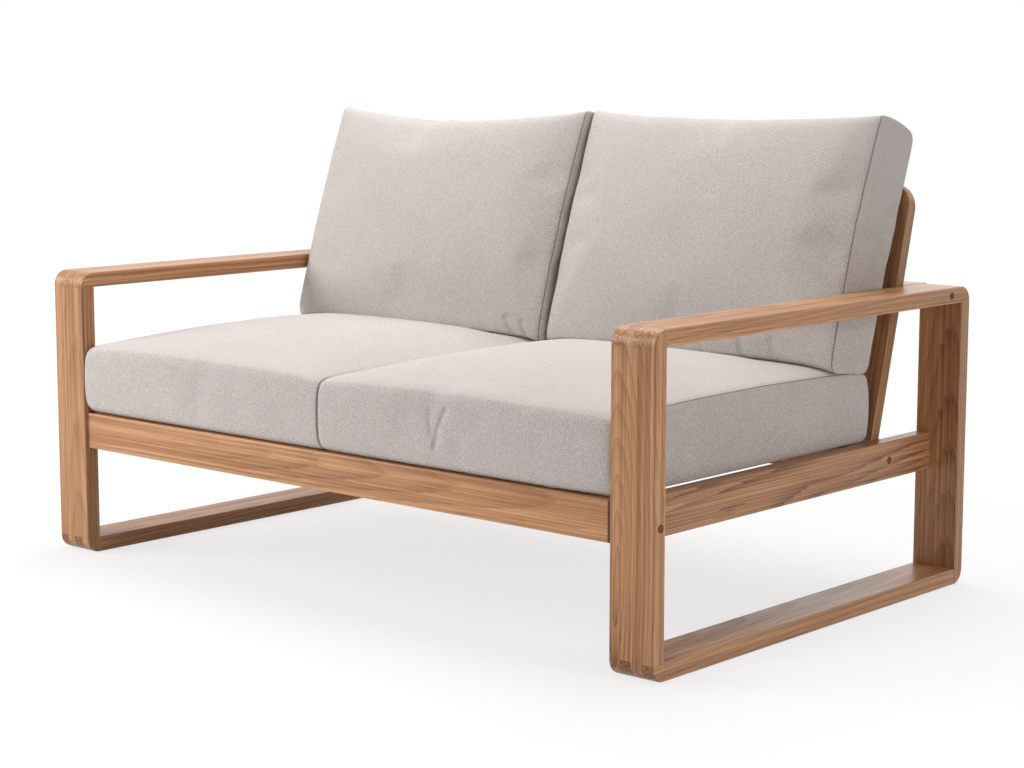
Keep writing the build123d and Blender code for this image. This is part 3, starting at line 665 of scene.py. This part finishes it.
def sew_in(piece):
    """Seams sit in a shallow valley with the cloth puffed on both sides of it."""
    count = len(piece.data.vertices)
    near = np.zeros(count, np.float32)
    piece.data.attributes["from_seam"].data.foreach_get("value", near)
    flat = np.zeros(count * 3)
    piece.data.vertices.foreach_get("normal", flat)
    normals = flat.reshape(-1, 3)
    valley = np.exp(-(near / 0.0025) ** 2)
    puff = 0.35 * np.exp(-((near - 0.010) / 0.006) ** 2)
    amount = SEAM_DEPTH * (puff - valley)
    points = read_points(piece.data) + normals * amount[:, None]
    piece.data.vertices.foreach_set("co", points.ravel())
    piece.data.update()


STACK_SIDE = 0.4240
STACK_MIDDLE = 0.4400
STACK_FRONT = 0.125
STACK_SLOPE = 0.09


def stack_height(x, y):
    """Where the seat cushions' tops meet the back cushions' undersides."""
    share = np.clip((np.abs(x) - CUSHION_LOW_X) / (CUSHION_HIGH_X - CUSHION_LOW_X), 0, 1)
    rise = (STACK_MIDDLE - STACK_SIDE) * (1 - np.abs(2 * share - 1) ** 4) ** 0.6
    return STACK_SIDE + rise - STACK_SLOPE * np.clip(y - STACK_FRONT, 0, 0.2)


def press_under_back(piece):
    """The seat cushion gives way where the back cushion stands on it."""
    points = read_points(piece.data)
    before = np.clip((STACK_FRONT - points[:, 1]) / 0.09, 0, 1)
    room = stack_height(points[:, 0], points[:, 1]) - 0.0004 + 0.03 * before ** 2
    points[:, 2] = np.minimum(points[:, 2], room)
    piece.data.vertices.foreach_set("co", points.ravel())
    piece.data.update()


def free_of_slats(points):
    """0 on the underside, which lies on the slats, and 1 from half a hand above it."""
    return np.clip((points[:, 2] - SEAT_LOW) / BED_FADE, 0, 1)


def keep_between(piece, low, high):
    """The cushion lies flat where it meets the slats, the sides and its neighbour."""
    points = np.clip(read_points(piece.data), low, high)
    piece.data.vertices.foreach_set("co", points.ravel())
    piece.data.update()


def full(share, power, roundness):
    """How full the cushion is across its width: 0 at both side panels, 1 in the middle."""
    return (1 - abs(2 * share - 1) ** power) ** roundness


SEAT_FRONT = -0.4790
SEAT_REAR = 0.2830
SEAT_LOW = 0.2852
SEAT_SIDE_HEIGHT = 0.132
SEAT_MIDDLE_HEIGHT = 0.142
SEAT_RADII = (0.026, 0.020, 0.034, 0.027)
SEAT_COUNTS = (66, 15)
SEAT_PANEL_PUFF = 0.004
SEAT_FILL_SHARE = 0.16
SEAT_FRONT_LIMIT = -0.4820
SEAT_REAR_LIMIT = 0.2895
SEAT_SEEDS = {"right": 1.0, "left": 2.0}


def seat_section_for(low_x, high_x):
    """The section of one seat cushion; the front draws back most beside the right leg."""
    def section(share):
        fullness = full(share, 4, 0.7)
        x = low_x + (high_x - low_x) * share
        draw = 0.003 * (1 - fullness)
        front_draw = (0.002 + 0.010 * max(x / CUSHION_HIGH_X, 0) ** 2) * (1 - fullness)
        high = SEAT_LOW + SEAT_SIDE_HEIGHT + (SEAT_MIDDLE_HEIGHT - SEAT_SIDE_HEIGHT) * fullness
        corners = [(SEAT_FRONT + front_draw, SEAT_LOW), (SEAT_REAR - draw, SEAT_LOW),
                   (SEAT_REAR - draw, high), (SEAT_FRONT + front_draw, high)]
        return corners, SEAT_RADII, (0, 0.004, 0.006 + 0.008 * fullness, 0.002)
    return section


EDGE_LIFT = 0.0065
EDGE_LIFT_LEFT = 0.0040
EDGE_DEPTH = 0.021


def lift_front_edge(piece):
    """The lower front edge turns up a little, so a dark gap shows over the front rail."""
    points = read_points(piece.data)
    near = np.clip((SEAT_FRONT + EDGE_DEPTH - points[:, 1]) / EDGE_DEPTH, 0, 1)
    low = np.clip(1 - (points[:, 2] - SEAT_LOW) / 0.060, 0, 1)
    leftward = np.clip((-points[:, 0] - 0.560) / 0.110, 0, 1)
    points[:, 2] += (EDGE_LIFT + EDGE_LIFT_LEFT * leftward) * low * near
    piece.data.vertices.foreach_set("co", points.ravel())
    piece.data.update()


YARN_PITCH = 0.00125
FLECK_RUN = 4.0
CLOTH_PALE = (0.850, 0.785, 0.760, 1)
CLOTH_DEEP = (0.245, 0.206, 0.188, 1)


def fold_groove(add, sums, spots, width, behind_y):
    """0 in a crease that runs through a few places in x and z on the front, 1 away from it."""
    split = add("SeparateXYZ", add("TexCoord").outputs["Object"]).outputs
    flat = add("CombineXYZ", split[0], split[2], 0.0).outputs[0]
    behind = sums("GREATER_THAN", split[1], behind_y)
    lines = []
    for first, last in zip(spots, spots[1:]):
        run = (last[0] - first[0], last[1] - first[1])
        length = math.hypot(*run)
        start = add("VectorMath", flat, (first[0], first[1], 0), operation="SUBTRACT").outputs[0]
        along = add("VectorMath", start, (run[0] / length ** 2, run[1] / length ** 2, 0),
                    operation="DOT_PRODUCT").outputs["Value"]
        along = add("Clamp", along, 0.0, 1.0).outputs[0]
        on_line = add("CombineXYZ", sums("MULTIPLY", along, run[0]),
                      sums("MULTIPLY", along, run[1]), 0.0).outputs[0]
        lines.append(add("VectorMath", start, on_line, operation="DISTANCE").outputs["Value"])
    off = lines[0]
    for line in lines[1:]:
        off = sums("MINIMUM", off, line)
    off = sums("MAXIMUM", off, behind)
    return add("MapRange", off, 0.0, width, 0.0, 1.0, interpolation_type="SMOOTHSTEP").outputs[0]


def woven_cover(name, seed, bold, folds):
    """A basket weave, two by two, of pale warp and greyer weft, with flecked yarns."""
    material, shader, tree, add = new_finish(name)
    sums = sums_for(add)
    cloth = add("UVMap", uv_map="cloth").outputs[0]
    split = add("SeparateXYZ", cloth).outputs
    across = sums("DIVIDE", split[0], YARN_PITCH)
    along = sums("DIVIDE", split[1], YARN_PITCH)
    end, pick = sums("FLOOR", across), sums("FLOOR", along)
    in_end = sums("SUBTRACT", sums("FRACT", across), 0.5)
    in_pick = sums("SUBTRACT", sums("FRACT", along), 0.5)
    pairs = sums("ADD", sums("FLOOR", sums("DIVIDE", end, 2.0)),
                 sums("FLOOR", sums("DIVIDE", pick, 2.0)))
    over = sums("LESS_THAN", sums("FLOORED_MODULO", pairs, 2.0), 1.0)
    end_round = sums("SUBTRACT", 1.0, sums("MULTIPLY", sums("MULTIPLY", in_end, in_end), 3.6))
    pick_round = sums("SUBTRACT", 1.0, sums("MULTIPLY", sums("MULTIPLY", in_pick, in_pick), 3.6))
    height = add("Mix", over, pick_round, end_round).outputs[0]
    end_run = sums("FLOOR", sums("DIVIDE", end, FLECK_RUN))
    pick_run = sums("FLOOR", sums("DIVIDE", pick, FLECK_RUN))
    end_place = add("CombineXYZ", end, pick_run, seed).outputs[0]
    pick_place = add("CombineXYZ", end_run, pick, seed + 7.0).outputs[0]
    end_fleck = add("TexWhiteNoise", end_place).outputs[0]
    pick_fleck = add("TexWhiteNoise", pick_place).outputs[0]
    fleck = add("Mix", over, pick_fleck, end_fleck).outputs[0]
    shade = sums("MULTIPLY", sums("SUBTRACT", 1.0, over), 0.66)
    shade = sums("ADD", shade, sums("MULTIPLY", sums("SUBTRACT", fleck, 0.5), 0.46))
    # Painted shade: darker towards each yarn's edges, in the grooves between the yarns
    shade = sums("ADD", shade, sums("MULTIPLY", sums("SUBTRACT", 1.0, height), 0.45))
    drift = add("TexNoise", add("Mapping", cloth, None, None, (7, 7, 7)).outputs[0])
    drift.inputs["Scale"].default_value = 1.0
    shade = sums("ADD", shade, sums("MULTIPLY", sums("SUBTRACT", drift.outputs[0], 0.5), 0.16))
    # Painted shading of the yarns' relief: the weave is drawn stronger on steep faces and on faces
    # turned right, weaker on tops, as grazing light gives it
    facing = add("SeparateXYZ", add("TexCoord").outputs["Normal"]).outputs
    painted_relief_contrast = add("MapRange", facing[2], 0.35, 0.85, bold, bold * 0.5).outputs[0]
    painted_relief_contrast = sums("ADD", painted_relief_contrast, add("MapRange", facing[0], 0.5, 0.9, 0.0, 0.4).outputs[0])
    shade = sums("ADD", sums("MULTIPLY", sums("SUBTRACT", shade, 0.45), painted_relief_contrast), 0.45)
    # Painted shade in the seam valleys: the cloth is darkened within a millimetre or so of each
    # seam
    near = add("Attribute", attribute_name="from_seam").outputs["Fac"]
    seam_shade = add("MapRange", near, 0.0005, 0.0016, 1.0, 0.0).outputs[0]
    shade = add("Clamp", sums("ADD", shade, seam_shade), 0.0, 1.0).outputs[0]
    colour = tint(add, shade, CLOTH_PALE, CLOTH_DEEP)
    tree.links.new(colour, shader.inputs["Base Color"])
    rough = sums("ADD", sums("MULTIPLY", fleck, 0.08), 0.86)
    tree.links.new(rough, shader.inputs["Roughness"])
    shader.inputs["Specular IOR Level"].default_value = 0.12
    shader.inputs["Sheen Weight"].default_value = 0.15
    shader.inputs["Sheen Roughness"].default_value = 0.6
    bump = add("Bump")
    bump.inputs["Strength"].default_value = 0.55
    bump.inputs["Distance"].default_value = 0.0004
    tree.links.new(height, bump.inputs["Height"])
    for spots, width, depth, behind_y in folds:
        fold = add("Bump")
        fold.inputs["Strength"].default_value = 1.0
        fold.inputs["Distance"].default_value = depth
        tree.links.new(fold_groove(add, sums, spots, width, behind_y), fold.inputs["Height"])
        tree.links.new(bump.outputs[0], fold.inputs["Normal"])
        bump = fold
    tree.links.new(bump.outputs[0], shader.inputs["Normal"])
    return material


# Each crease: its places in x and z, half width, depth, and the y behind which it isn't pressed in
SEAT_FOLDS = {
    "left": (),
    "right": (
        (((0.312, 0.393), (0.303, 0.378), (0.292, 0.355), (0.286, 0.328)), 0.011, 0.0032, -0.40),
        (((0.273, 0.387), (0.2775, 0.352)), 0.010, 0.0016, -0.40),
    ),
}
FOLD_SHARE = 0.7


def press_folds(piece, folds):
    """The creases are pressed into the cover itself; its finish then sharpens them."""
    points = read_points(piece.data)
    for spots, width, depth, behind_y in folds:
        off = np.full(len(points), width)
        for first, last in zip(spots, spots[1:]):
            run = np.subtract(last, first)
            start = points[:, (0, 2)] - first
            along = np.clip(start @ run / (run @ run), 0, 1)
            off = np.minimum(off, np.linalg.norm(start - along[:, None] * run, axis=1))
        deep = 1 - off / width
        deep = deep * deep * (3 - 2 * deep) * (points[:, 1] < behind_y)
        points[:, 1] += FOLD_SHARE * depth * deep
    piece.data.vertices.foreach_set("co", points.ravel())
    piece.data.update()


def finish_cushion(piece, material, body, node_name):
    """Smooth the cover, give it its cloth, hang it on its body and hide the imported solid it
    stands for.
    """
    smooth = piece.modifiers.new("smooth", "SUBSURF")
    smooth.levels = 1
    smooth.render_levels = 1
    piece.data.materials.append(material)
    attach(piece, body)
    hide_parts(node_name)


for side, (low_x, high_x) in CUSHION_SPANS.items():
    seat = cover_mesh("seat_cover_" + side, low_x, high_x, seat_section_for(low_x, high_x),
                      SEAT_COUNTS, SEAT_PANEL_PUFF)
    fill_with_foam(seat, (0, 1), SEAT_FILL_SHARE, free_of_slats)
    sew_in(seat)
    press_under_back(seat)
    room_low, room_high = CUSHION_ROOM[side]
    keep_between(seat, (room_low, SEAT_FRONT_LIMIT, SEAT_LOW), (room_high, SEAT_REAR_LIMIT, 1.0))
    lift_front_edge(seat)
    press_folds(seat, SEAT_FOLDS[side])
    seat_cloth = woven_cover("weave_seat_" + side, SEAT_SEEDS[side], 0.92, SEAT_FOLDS[side])
    finish_cushion(seat, seat_cloth, side + "_seat", "seat_cushion_" + side)

# Back cushions
# Softer than the seat's, thicker at the bottom, and sewn the same way with side panels. They stand
# on the seat cushions and lean on the back frame, and the top edge dips between its corners.
BACK_FACE_AT_SEAT = 0.29157
SEAT_BOARD_TOP = 0.285
BACK_TOP = 0.8860
BACK_TOP_SAG = {"right": 0.011, "left": 0.020}
BACK_LOW_THICKNESS = 0.178
BACK_HIGH_THICKNESS = 0.142
BACK_MIDDLE_FILL = 0.036
REAR_DRAW_LOW = 0.050
REAR_DRAW_HIGH = 0.017
BACK_FORWARD = {"right": (0.012, 0.000), "left": (0.060, 0.030)}
ROW_FALL = 0.001
FRAME_GAP = 0.0006
BACK_COUNTS = (20, 44)
BACK_PANEL_PUFF = 0.006
BACK_FILL_SHARE = 0.35
BACK_LOW_LIMIT = (-0.4755, 0.4)
BACK_HIGH_LIMIT = (0.47, 0.889)
BACK_SEEDS = {"right": 3.0, "left": 4.0}


def back_frame_y(z):
    """Where the front of the back frame is at a height."""
    return BACK_FACE_AT_SEAT + (z - SEAT_BOARD_TOP) * math.tan(RECLINE)


def back_section_for(low_x, high_x, forward_ends, sag):
    """The section of one back cushion; the row stands turned a little, its left end forward."""
    def section(share):
        fullness = full(share, 2.3, 0.75)
        x = low_x + (high_x - low_x) * share
        forward = (BACK_MIDDLE_FILL * fullness + forward_ends[0] * (1 - share)
                   + forward_ends[1] * share)
        high = BACK_TOP - sag * full(share, 2, 1) - ROW_FALL * (CUSHION_HIGH_X - x)
        foot_y = back_frame_y(STACK_SIDE) - BACK_LOW_THICKNESS - forward
        foot, heel = float(stack_height(x, foot_y)), float(stack_height(x, 0.31))
        high_thick = BACK_HIGH_THICKNESS + forward
        rear_high = high - high_thick * math.tan(RECLINE)
        low_rear = back_frame_y(heel) - FRAME_GAP - REAR_DRAW_LOW * (1 - fullness)
        high_rear = back_frame_y(rear_high) - FRAME_GAP - REAR_DRAW_HIGH * (1 - fullness)
        corners = [(foot_y, foot), (low_rear, heel), (high_rear, rear_high),
                   (back_frame_y(high) - high_thick, high)]
        ear = 0.014 + 0.014 * fullness
        toe = 0.024 + 0.020 * max(-x / CUSHION_HIGH_X, 0) ** 2 * (1 - fullness)
        return corners, (toe, 0.020, 0.026, ear), (0, 0, 0.003, 0.006 + 0.008 * fullness)
    return section


def free_of_frame(points):
    """0 on the underside and on the rear, which lean on something, and 1 away from them."""
    over = points[:, 2] - stack_height(points[:, 0], points[:, 1])
    before = back_frame_y(points[:, 2]) - points[:, 1]
    return np.clip(np.minimum(over, before) / BED_FADE, 0, 1)


def lean_on_back(piece):
    """No point goes behind the front of the back frame, or under the top of the seat cushion."""
    points = read_points(piece.data)
    points[:, 1] = np.minimum(points[:, 1], back_frame_y(points[:, 2]) - 0.0005)
    points[:, 2] = np.maximum(points[:, 2], stack_height(points[:, 0], points[:, 1]))
    piece.data.vertices.foreach_set("co", points.ravel())
    piece.data.update()


BACK_FOLDS = {
    "left": (
        (((-0.0700, 0.4720), (-0.0542, 0.4480), (-0.0409, 0.4330)), 0.013, 0.0042, 0.24),
        (((-0.0357, 0.4640), (-0.0277, 0.4474), (-0.0224, 0.4320)), 0.011, 0.0036, 0.24),
    ),
    "right": (
        (((0.3946, 0.4740), (0.4087, 0.4470)), 0.014, 0.0028, 0.24),
        (((0.4862, 0.4790), (0.4973, 0.4450)), 0.014, 0.0032, 0.24),
        (((0.5525, 0.4740), (0.5661, 0.4400)), 0.014, 0.0028, 0.24),
    ),
}
for side, (low_x, high_x) in CUSHION_SPANS.items():
    back_section = back_section_for(low_x, high_x, BACK_FORWARD[side], BACK_TOP_SAG[side])
    back = cover_mesh("back_cover_" + side, low_x, high_x, back_section, BACK_COUNTS,
                      BACK_PANEL_PUFF)
    fill_with_foam(back, (0, 2), BACK_FILL_SHARE, free_of_frame)
    sew_in(back)
    room_low, room_high = CUSHION_ROOM[side]
    keep_between(back, (room_low,) + BACK_LOW_LIMIT, (room_high,) + BACK_HIGH_LIMIT)
    lean_on_back(back)
    press_folds(back, BACK_FOLDS[side])
    back_cloth = woven_cover("weave_back_" + side, BACK_SEEDS[side], 0.72, BACK_FOLDS[side])
    finish_cushion(back, back_cloth, side + "_back", "back_cushion_" + side)

# Floor and light
# A plain pale floor and soft studio lamps: a large one from the upper left in front, one from
# above, a weak one from the right, and a weaker one from behind on the left.
FLOOR_REACH = 9.0
FLOOR_DROP = 0.0005
FLOOR_PAINT = (0.80, 0.80, 0.80, 1)
FLOOR_GLOW = 1.02
SHADOW_NEAR = 0.7
SHADOW_FAR = 2.0
SHADOW_GLOW_SHARE = 0.72
ROOM_LEVEL = 0.18
LAMPS = {
    "key": ((-2.4, -2.6, 1.9), (0, 0, 0.4), 1.9, 96),
    "overhead": ((-0.3, 0.8, 3.8), (0, 0, 0.4), 2.8, 142),
    "fill": ((3.7, -0.5, 1.2), (0, 0, 0.4), 1.8, 30),
    "rear": ((-1.6, 3.4, 1.5), (0.3, 0.2, 0.5), 2.4, 9),
}
floor_mesh = bpy.data.meshes.new("floor")
floor_mesh.from_pydata([(-FLOOR_REACH, -FLOOR_REACH, 0), (FLOOR_REACH, -FLOOR_REACH, 0),
                        (FLOOR_REACH, FLOOR_REACH, 0), (-FLOOR_REACH, FLOOR_REACH, 0)],
                       [], [(0, 1, 2, 3)])
floor = bpy.data.objects.new("floor", floor_mesh)
floor.location.z = -FLOOR_DROP
bpy.context.scene.collection.objects.link(floor)
floor_paint, floor_shader, floor_tree, floor_add = new_finish("floor_paint")
floor_shader.inputs["Base Color"].default_value = FLOOR_PAINT
floor_shader.inputs["Roughness"].default_value = 0.9
path = floor_add("LightPath").outputs
seen = floor_add("Math", path["Is Camera Ray"], path["Is Glossy Ray"], operation="MAXIMUM")
seen = floor_add("Math", seen.outputs[0], path["Is Transmission Ray"], operation="MAXIMUM")
glow = floor_add("Emission", (1, 1, 1, 1), FLOOR_GLOW)
floor_place = floor_add("TexCoord").outputs["Object"]
far = floor_add("VectorMath", floor_place, operation="LENGTH").outputs["Value"]
plain = floor_add("MapRange", far, SHADOW_NEAR, SHADOW_FAR, SHADOW_GLOW_SHARE, 1.0,
                  interpolation_type="SMOOTHSTEP")
share = floor_add("Math", seen.outputs[0], plain.outputs[0], operation="MULTIPLY")
mixed = floor_add("MixShader", share.outputs[0], floor_shader.outputs[0], glow.outputs[0])
floor_output = next(n for n in floor_tree.nodes if n.type == "OUTPUT_MATERIAL")
floor_tree.links.new(mixed.outputs[0], floor_output.inputs[0])
floor_mesh.materials.append(floor_paint)

world = bpy.data.worlds.new("studio")
bpy.context.scene.world = world
world.use_nodes = True
air = world.node_tree
air.nodes.clear()
air_output = air.nodes.new("ShaderNodeOutputWorld")
room = air.nodes.new("ShaderNodeBackground")
backdrop = air.nodes.new("ShaderNodeBackground")
room.inputs[0].default_value = (1, 1, 1, 1)
room.inputs[1].default_value = ROOM_LEVEL
backdrop.inputs[0].default_value = (1, 1, 1, 1)
backdrop.inputs[1].default_value = 1.0
rays = air.nodes.new("ShaderNodeLightPath")
either = air.nodes.new("ShaderNodeMath")
either.operation = "MAXIMUM"
any_of = air.nodes.new("ShaderNodeMath")
any_of.operation = "MAXIMUM"
air.links.new(rays.outputs["Is Camera Ray"], either.inputs[0])
air.links.new(rays.outputs["Is Glossy Ray"], either.inputs[1])
air.links.new(either.outputs[0], any_of.inputs[0])
air.links.new(rays.outputs["Is Transmission Ray"], any_of.inputs[1])
air_mix = air.nodes.new("ShaderNodeMixShader")
air.links.new(any_of.outputs[0], air_mix.inputs[0])
air.links.new(room.outputs[0], air_mix.inputs[1])
air.links.new(backdrop.outputs[0], air_mix.inputs[2])
air.links.new(air_mix.outputs[0], air_output.inputs[0])


def soft_lamp(name, place, target, size, power):
    """A square soft box that faces a point of the loveseat."""
    data = bpy.data.lights.new(name, "AREA")
    data.size = size
    data.energy = power
    lamp = bpy.data.objects.new(name, data)
    lamp.location = place
    aim = Vector(target) - Vector(place)
    lamp.rotation_euler = aim.to_track_quat("-Z", "Y").to_euler()
    bpy.context.scene.collection.objects.link(lamp)


for lamp_name, (place, target, size, power) in LAMPS.items():
    soft_lamp(lamp_name, place, target, size, power)
